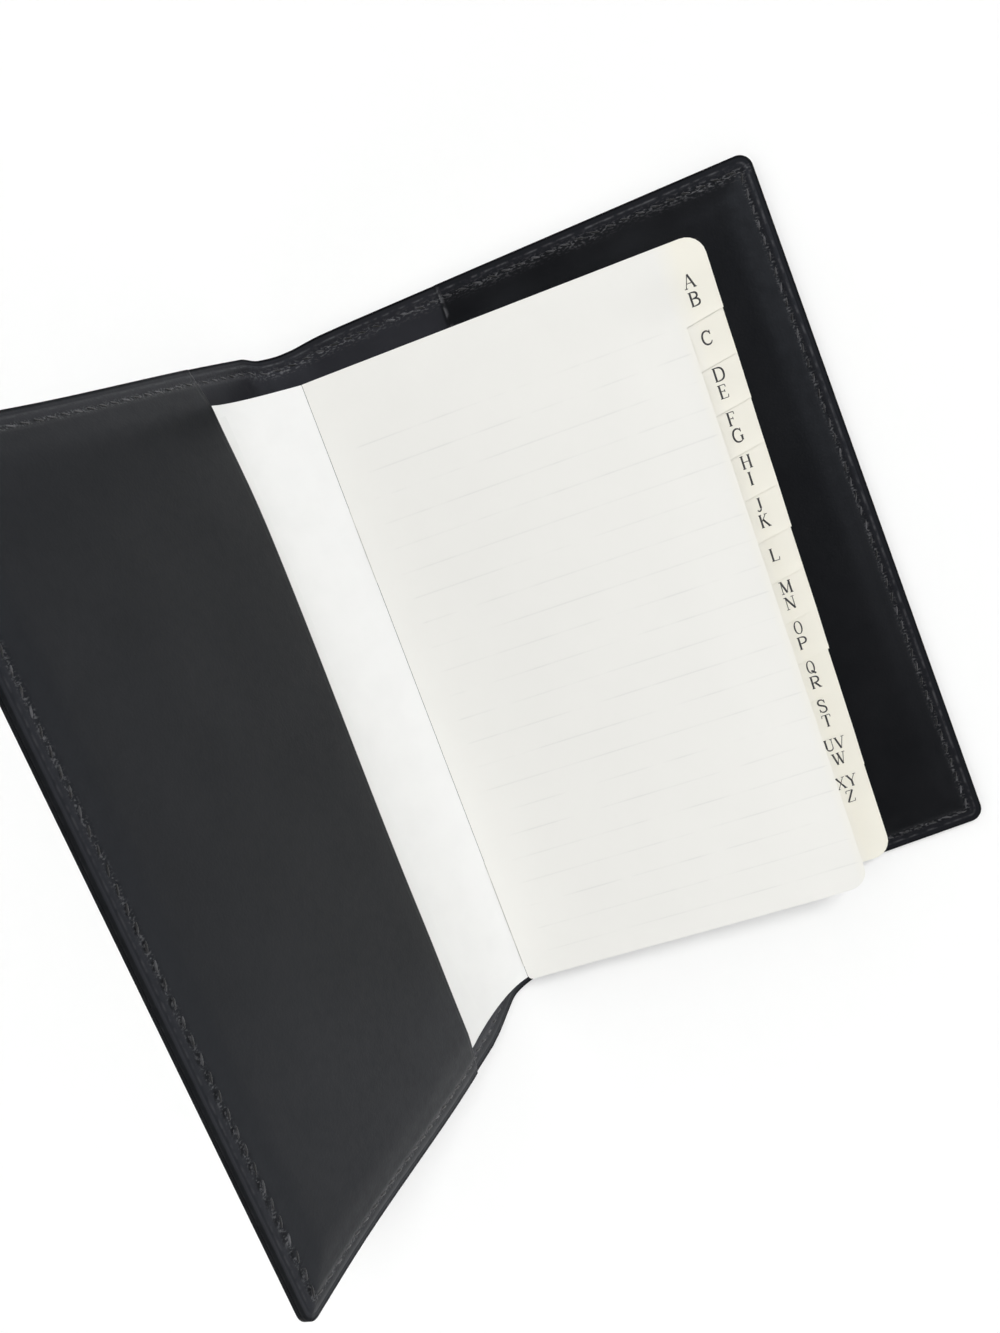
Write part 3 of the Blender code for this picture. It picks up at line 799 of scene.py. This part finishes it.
def index_paper(tree):
    """Ivory paper with faint rules, a cream index strip and painted shade lines between the sheets of its
    cut edges.
    """
    page = add_node(tree, "UVMap", uv_map="page")
    place = add_node(tree, "TexCoord").outputs["Object"]
    split = add_node(tree, "SeparateXYZ", {0: page})
    mottle = add_node(tree, "TexNoise", {"Vector": page, "Scale": MAP_SIZE / PAPER_CLOUD, "Detail": 5.0})
    swing = add_node(tree, "Math", {0: split.outputs[1], 1: RULE_PITCH / 2 / MAP_SIZE},
                     operation="PINGPONG")
    ruled = add_node(tree, "MapRange", {"Value": swing, "To Min": 1.0, "To Max": 0.0,
                                        "From Min": RULE_WIDTH / 2 / MAP_SIZE,
                                        "From Max": RULE_WIDTH / MAP_SIZE})
    for socket, begin, stop in ((0, RULED_FROM, RULED_FROM + MM), (0, RULED_TO + MM, RULED_TO),
                                (1, RULED_BELOW + MM, RULED_BELOW)):
        within = add_node(tree, "MapRange", {"Value": split.outputs[socket],
                                             "From Min": begin / MAP_SIZE, "From Max": stop / MAP_SIZE})
        ruled = add_node(tree, "Math", {0: ruled, 1: within}, operation="MULTIPLY")
    worn = add_node(tree, "MapRange", {"Value": mottle, "From Min": 0.38, "From Max": 0.62,
                                       "To Min": 0.0, "To Max": 0.24})
    ruled = add_node(tree, "Math", {0: ruled, 1: worn}, operation="MULTIPLY")
    film = add_node(tree, "MapRange", {"Value": split.outputs[0], "From Min": STRIP_START / MAP_SIZE,
                                       "From Max": (STRIP_START + STRIP_FADE) / MAP_SIZE})
    ply = add_node(tree, "Attribute", attribute_name="ply").outputs["Fac"]
    # Across a cut edge the ply runs from the lower face to the upper; dark lines at even steps of it are
    # painted shade where the sheets meet.
    sheets = add_node(tree, "Math", {0: ply, 1: 1 / (2 * SHEETS)}, operation="PINGPONG")
    seam = add_node(tree, "MapRange", {"Value": sheets, "From Min": 0.085, "From Max": 0.12})
    colour = linear("#F3F2ED")
    # The last tint is that painted shade.
    for share, tint in ((mottle, "#F0EFEA"), (film, "#F5F2E6"), (ruled, "#CDCDCA"), (seam, "#C9C7BE")):
        colour = add_node(tree, "Mix", {0: share, 6: colour, 7: linear(tint)}, data_type="RGBA")
    tooth = add_node(tree, "TexNoise", {"Vector": place, "Scale": 1 / PAPER_TOOTH, "Detail": 3.0})
    bump = add_node(tree, "Bump", {"Height": tooth, "Strength": 0.12, "Distance": 0.03 * MM})
    return {"Base Color": colour, "Roughness": 0.7, "Specular IOR Level": 0.3, "Normal": bump}


ivory_paper = make_material("ivory_index_paper", index_paper)

# %% [markdown]
# ## Leaves
# Each index section is a few leaves, cut back below its own tab so that the next tab
# shows. A flat sheet is bisected along the tab's slanted lower end, the piece below
# it is deleted, and the fore corners are rounded with a vertex bevel. Then it gets its
# thickness and its rest shape: a dip into the fold, a tab that droops onto the next
# one and a slight curl at the corner.

# %% Leaf measures
LEAF_COUNT = 14
LEAF_THICK = 0.36 * MM
LEAF_START = 0.05 * MM
PAGE_WIDTH, PAGE_CORNER, FOLD_CORNER = 73 * MM, 3.5 * MM, 0.9 * MM
UNEVEN = 0.2 * MM          # the sections' fore edges differ a little
FIRST_TAB_TOP = 58.5 * MM
STRIP_WIDTH = 6.8 * MM
STAGGER = 0.45 * MM
FIRST_TAB, TAB_LENGTH, TAB_SLOPE = 12.2 * MM, 7.95 * MM, 1.2 * MM
DROOP_OVER = 9 * MM        # a tab droops over this length onto the next one
TOP_DROOP, UNDER_DROOP = 0.77 * MM, 0.44 * MM
PRESS_FROM, PRESS_OVER = 52 * MM, 14 * MM
CORNER_CURL, FOLD_DIP, PAPER_WAVE = 0.55 * MM, 0.10 * MM, 0.16 * MM
WAVE_SIZE = 34 * MM
FOLD_LINES = [0.6 * MM, 1.4 * MM, 3 * MM] + spaced(6 * MM, 50 * MM, 5.5 * MM)
FAN = math.radians(4.5)
SKEW = math.atan2(FOLD_WAY.x, FOLD_WAY.y)


def tab_end(number):
    """Lower end of a section's own tab, from the page's middle."""
    return FIRST_TAB_TOP - FIRST_TAB - (number - 1) * TAB_LENGTH


def leaf_lift(number, u, v):
    """How far a leaf stands off its flat shape at page point u, v."""
    share = (LEAF_COUNT + 1 - number) / LEAF_COUNT
    curl = CORNER_CURL * share * ease((u - 48 * MM) / (25 * MM)) * ease((-v - 32 * MM) / (27 * MM))
    wave = PAPER_WAVE * share * noise.noise(Vector((u, v, 0.0)) / WAVE_SIZE) * ease(u / (20 * MM))
    return curl - FOLD_DIP * math.exp(-u / (1.2 * MM)) + wave


def tab_press(number, u, v):
    """How far a section is pressed onto the next one, from 0 to 1 at its tab's end."""
    if number == LEAF_COUNT:
        return 0.0
    return ease((u - PRESS_FROM) / PRESS_OVER) * ease((tab_end(number) - v) / DROOP_OVER + 1)


def leaf_face(number, u, v, upper=True):
    """Height of a section's upper or lower face: it thins out where its sheets are cut back."""
    half, droop = (LEAF_THICK / 2, TOP_DROOP) if upper else (-LEAF_THICK / 2, UNDER_DROOP)
    return leaf_lift(number, u, v) + half - droop * tab_press(number, u, v)


def leaf_place(number):
    """Page coordinates of a section to the planner's frame, at rest."""
    hinge = "page_turn" if number == 1 else f"leaf_{number:02d}_turn"
    tilt = FAN * (LEAF_COUNT + 1 - number) / LEAF_COUNT
    return (Matrix.Translation(joints[hinge]["pos_m"]) @ Matrix.Rotation(-SKEW, 4, "Z")
            @ Matrix.Rotation(-tilt, 4, "Y"))


print(f"page skewed {math.degrees(SKEW):.1f} degrees, first tab ends at v {tab_end(1) / MM:.1f} mm")


# %% Leaf builder
def leaf_sheet(number):
    """One section's sheet, cut to its tab and rounded, flat and without thickness."""
    full = PAGE_WIDTH - (number - 1) * STAGGER + UNEVEN * math.sin(2.3 * number)
    narrow = full - STRIP_WIDTH
    bm = ruled_sheet([LEAF_START, full], [-PAGE_TAIL, PAGE_HEAD])
    low_corner = full
    if number < LEAF_COUNT:
        low_corner = narrow
        cut(bm, (narrow, 0.0, 0.0), (1.0, 0.0, 0.0))
        cut(bm, (full, tab_end(number), 0.0), (-TAB_SLOPE, STRIP_WIDTH, 0.0))
        below = [f for f in bm.faces if f.calc_center_median().x > narrow
                 and f.calc_center_median().y < tab_end(number)]
        bmesh.ops.delete(bm, geom=below, context="FACES")
        bmesh.ops.dissolve_faces(bm, faces=bm.faces[:])
    for u, v, radius in ((full, PAGE_HEAD, PAGE_CORNER), (low_corner, -PAGE_TAIL, PAGE_CORNER),
                         (LEAF_START, -PAGE_TAIL, FOLD_CORNER)):
        corner = [vert for vert in bm.verts if (vert.co - Vector((u, v, 0.0))).length < 0.01 * MM]
        bmesh.ops.bevel(bm, geom=corner, offset=radius, offset_type="OFFSET", affect="VERTICES",
                        segments=6, profile=0.5, material=-1)
    for u in FOLD_LINES + spaced(PRESS_FROM, full, 2 * MM)[:-1]:
        cut(bm, (u, 0.0, 0.0), (1.0, 0.0, 0.0))
    end = tab_end(number)
    for v in spaced(-PAGE_TAIL, PAGE_HEAD, 6 * MM)[1:-1] + spaced(end, end + DROOP_OVER, MM):
        cut(bm, (0.0, v, 0.0), (0.0, 1.0, 0.0))
    return bm


def make_leaf(number):
    """A section with thickness, page map and rest shape."""
    bm = leaf_sheet(number)
    page = bm.loops.layers.uv.new("page")
    ply = bm.verts.layers.float.new("ply")
    upper = thickened(bm)
    offset = (number - 1) * STAGGER
    for face in bm.faces:
        for loop in face.loops:
            loop[page].uv = ((loop.vert.co.x + offset) / MAP_SIZE, (loop.vert.co.y + PAGE_TAIL) / MAP_SIZE)
    place = leaf_place(number)
    for vert in bm.verts:
        vert[ply] = 1.0 if vert in upper else 0.0
        u, v = vert.co.x, vert.co.y
        vert.co = place @ Vector((u, v, leaf_face(number, u, v, vert in upper)))
    bmesh.ops.recalc_face_normals(bm, faces=bm.faces[:])
    leaf = add_object(f"index_leaf_{number:02d}", bm, ivory_paper)
    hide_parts(f"leaf_{number:02d}")
    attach(leaf, f"leaf_{number:02d}")


for number in range(1, LEAF_COUNT + 1):
    make_leaf(number)

# %% [markdown]
# ## Index capitals
# The tabs carry the serif capitals of an A to Z index. A built-in font has no serifs,
# so each letter is drawn as a few pen strokes: thick stems, thin hairlines, bowls that
# swell in the middle and short serifs. The table lists each letter's strokes as words
# and points. A curve with a round bevel and a radius at each point makes such a stroke.
# It is turned into a mesh, pressed flat and laid on the leaf.

# %% Stroke table
CAP_HEIGHT = 2.3 * MM
THICK_PEN, THIN_PEN = 0.075, 0.03      # half widths, as shares of the cap height
SERIF = 0.12


def strokes_of(letter):
    """A letter's strokes: a pen and its points, as shares of the cap height."""
    for stroke in LETTERS[letter].split("; "):
        pen, *points = stroke.split()
        if pen == "stem":                  # a thick upright with a serif at each end
            x = int(points[0]) / 100
            yield from (("thick", (x, 0), (x, 1)), ("serif", (x, 0)), ("serif", (x, 1)))
        else:
            yield pen, *[tuple(int(n) / 100 for n in point.split(",")) for point in points]


LETTERS = {                                # points in hundredths of the cap height
    "A": "thin 6,0 38,100; thick 38,100 72,0; thin 18,34 60,34; serif 6,0; serif 72,0",
    "B": "stem 16; swell 16,100 46,100 66,93 66,60 46,53 16,53; swell 16,53 48,53 74,45 74,7 48,0 16,0",
    "C": "swell 70,72 66,102 4,112 4,-12 66,-2 72,24; thin 70,100 70,68",
    "D": "stem 16; swell 16,100 50,100 82,92 82,8 50,0 16,0",
    "E": "stem 16; thin 16,100 60,100; thin 60,100 61,80; thin 16,53 48,53; thin 48,63 48,43; "
         "thin 16,0 64,0; thin 64,0 67,22",
    "F": "stem 16; thin 16,100 60,100; thin 60,100 61,80; thin 16,52 46,52; thin 46,62 46,42",
    "G": "swell 70,74 66,102 4,112 4,-12 60,-4 70,10; thin 70,100 70,70; thick 70,42 70,6; serif 70,42",
    "H": "stem 16; stem 68; thin 16,52 68,52",
    "I": "stem 36",
    "J": "thick 44,100 44,20; serif 44,100; swell 44,24 43,-6 20,-8 16,12",
    "K": "stem 16; thin 18,42 60,100; thick 32,60 70,0; serif 60,100; serif 70,0",
    "L": "stem 16; thin 16,0 64,0; thin 64,0 67,24",
    "M": "thin 10,0 12,100; thick 13,100 43,5; thin 43,5 76,100; thick 78,0 76,100; serif 10,0; "
         "serif 78,0; serif 10,100; serif 78,100",
    "N": "thin 12,0 12,100; thick 12,100 68,0; thin 68,0 68,100; serif 12,0; serif 10,100; "
         "serif 68,100",
    "O": "swell 40,102 4,102 4,-2 40,-2; swell 40,102 76,102 76,-2 40,-2",
    "P": "stem 16; swell 16,100 50,100 72,92 72,54 50,46 16,46",
    "Q": "swell 40,102 4,102 4,-2 40,-2; swell 40,102 76,102 76,-2 40,-2; thick 38,20 70,-10",
    "R": "stem 16; swell 16,100 50,100 72,92 72,54 50,46 16,46; thick 38,46 72,0; serif 72,0",
    "S": "swell 60,74 58,106 6,112 6,56 66,50 68,-12 12,-6 10,26; thin 60,100 60,72; thin 10,0 10,28",
    "T": "thick 38,0 38,100; serif 38,0; thin 6,100 70,100; thin 6,100 4,78; thin 70,100 72,78",
    "U": "thick 16,100 16,26; swell 16,30 16,-4 66,-4 66,30; thin 66,28 66,100; serif 16,100; "
         "serif 66,100",
    "V": "thick 8,100 38,0; thin 38,0 68,100; serif 8,100; serif 68,100",
    "W": "thick -4,100 20,0; thin 20,0 42,92; thick 36,100 62,0; thin 62,0 84,100; serif -4,100; "
         "serif 38,100; serif 84,100",
    "X": "thick 10,100 68,0; thin 66,100 10,0; serif 10,100; serif 66,100; serif 10,0; serif 68,0",
    "Y": "thick 8,100 38,46; thin 68,100 38,46; thick 38,50 38,0; serif 8,100; serif 68,100; "
         "serif 38,0",
    "Z": "thin 10,100 64,100; thick 64,100 8,0; thin 8,0 66,0; thin 10,100 8,78; thin 66,0 69,22",
}
print(f"{len(LETTERS)} letters, {sum(len(list(strokes_of(letter))) for letter in LETTERS)} strokes")

# %% Letters on the tabs
LETTER_GAP = 3.05 * MM     # one capital's middle to the next on a tab
LETTER_COLUMN = 69.0 * MM
LETTER_STEP = 2.1 * MM     # two capitals side by side
FIRST_ROW, LETTER_ROW = 4.4 * MM, 4.05 * MM     # a pair's middle, above the tab's lower end
LETTER_MIDDLE = 0.39       # a capital's own middle, as a share of the cap height
INK_THICK, INK_LIFT, INK_PATCH = 0.02 * MM, 0.012 * MM, 0.5 * MM
INDEX = ["A B", "C", "D E", "F G", "H I", "J K", "L", "M N", "O P", "Q R", "S T", "UV W", "XY Z"]


def offset_ink(tree):
    """Dark grey offset ink, a little patchy as it dries on film."""
    place = add_node(tree, "TexCoord").outputs["Object"]
    patch = add_node(tree, "TexNoise", {"Vector": place, "Scale": 1 / INK_PATCH, "Detail": 4.0})
    colour = add_node(tree, "Mix", {0: patch, 6: linear("#2E2E30"), 7: linear("#48484A")},
                      data_type="RGBA")
    return {"Base Color": colour, "Roughness": 0.6}


def pen_width(pen, share):
    """Half width of a stroke at a share of its length."""
    if pen == "swell":
        return THIN_PEN + (THICK_PEN - THIN_PEN) * math.sin(math.pi * share)
    return THICK_PEN if pen == "thick" else THIN_PEN


def letter_mesh(letter):
    """A capital as a mesh, one unit tall, from its pen strokes."""
    curve = bpy.data.curves.new("pen_strokes", "CURVE")
    curve.dimensions = "3D"
    curve.bevel_depth = 1.0
    curve.bevel_resolution = 1
    curve.resolution_u = 5
    curve.use_fill_caps = True
    for pen, *points in strokes_of(letter):
        if pen == "serif":
            x, y = points[0]
            points = [(x - SERIF, y), (x + SERIF, y)]
        line = curve.splines.new("NURBS" if len(points) > 2 else "POLY")
        line.points.add(len(points) - 1)
        for i, (x, y) in enumerate(points):
            line.points[i].co = (x, y, 0.0, 1.0)
            line.points[i].radius = pen_width(pen, i / (len(points) - 1))
        line.order_u = 4
        line.use_endpoint_u = True
    drawn = bpy.data.objects.new("pen_strokes", curve)
    bpy.context.scene.collection.objects.link(drawn)
    mesh = bpy.data.meshes.new_from_object(drawn.evaluated_get(bpy.context.evaluated_depsgraph_get()))
    bpy.data.objects.remove(drawn)
    bpy.data.curves.remove(curve)
    return mesh


grey_ink = make_material("dark_grey_ink", offset_ink)
for number, group in enumerate(INDEX, 1):
    bm = bmesh.new()
    column = LETTER_COLUMN - (number - 1) * STAGGER
    middle = tab_end(number) + (FIRST_ROW if number == 1 else LETTER_ROW)
    rows = group.split()
    for i, row in enumerate(rows):
        for j, letter in enumerate(row):
            mesh = letter_mesh(letter)
            known = set(bm.verts)
            bm.from_mesh(mesh)
            bpy.data.meshes.remove(mesh)
            left = column + (j - (len(row) - 1) / 2) * LETTER_STEP - LETTER_MIDDLE * CAP_HEIGHT
            base = middle + ((len(rows) - 1) / 2 - i) * LETTER_GAP - CAP_HEIGHT / 2
            bmesh.ops.transform(bm, verts=[v for v in bm.verts if v not in known],
                                matrix=Matrix.Translation((left, base, 0.0)) @ Matrix.Diagonal(
                                    (CAP_HEIGHT, CAP_HEIGHT, INK_THICK / THICK_PEN / 2, 1.0)))
    place = leaf_place(number)
    for vert in bm.verts:
        u, v, ink = vert.co
        vert.co = place @ Vector((u, v, leaf_face(number, u, v) + INK_LIFT + ink))
    letters = add_object(f"index_capitals_{number:02d}", bm, grey_ink, sharp=math.pi)
    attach(letters, f"leaf_{number:02d}")

# %% [markdown]
# ## Sewing in the gutter
# The sections are sewn through the fold with white cotton. In the open gutter only a
# few runs of thread show, from one sewing hole to the next. Each run is a thin cone
# primitive with equal ends, drawn in at both tips, lying along the fold.

# %% Gutter thread
SEWN = [(-57, -35, 0.02), (21.8, 35.7, -0.08)]     # mm along the fold, hole to hole, and mm of height
SEWING_RADIUS, SEWING_SIDES, SEWING_TWIST = 0.11 * MM, 8, 0.2 * MM
TIP_INSET, TIP_LENGTH = 0.07 * MM, 0.12 * MM
cotton = make_material("white_cotton_thread", twisted_thread, "#B9B8B2", "#D6D5CF", SEWING_TWIST)
fold_turn = FOLD_WAY.to_track_quat("Z", "Y").to_matrix().to_4x4()
bm = bmesh.new()
for begin, stop, height in SEWN:
    middle = FOLD + FOLD_WAY * ((begin + stop) / 2 * MM) + Vector((-0.03, 0.0, height)) * MM
    run = bmesh.ops.create_cone(bm, cap_ends=True, segments=SEWING_SIDES, radius1=SEWING_RADIUS,
                                radius2=SEWING_RADIUS, depth=(stop - begin) * MM,
                                matrix=Matrix.Translation(middle) @ fold_turn)
    tips = [f for f in bm.faces if len(f.verts) == SEWING_SIDES and set(f.verts) <= set(run["verts"])]
    for tip in bmesh.ops.inset_individual(bm, faces=tips, thickness=TIP_INSET, depth=TIP_LENGTH)["faces"]:
        tip.smooth = True
sewing = add_object("gutter_sewing", bm, cotton, sharp=math.pi)
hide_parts("sewing_thread")
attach(sewing, "block")
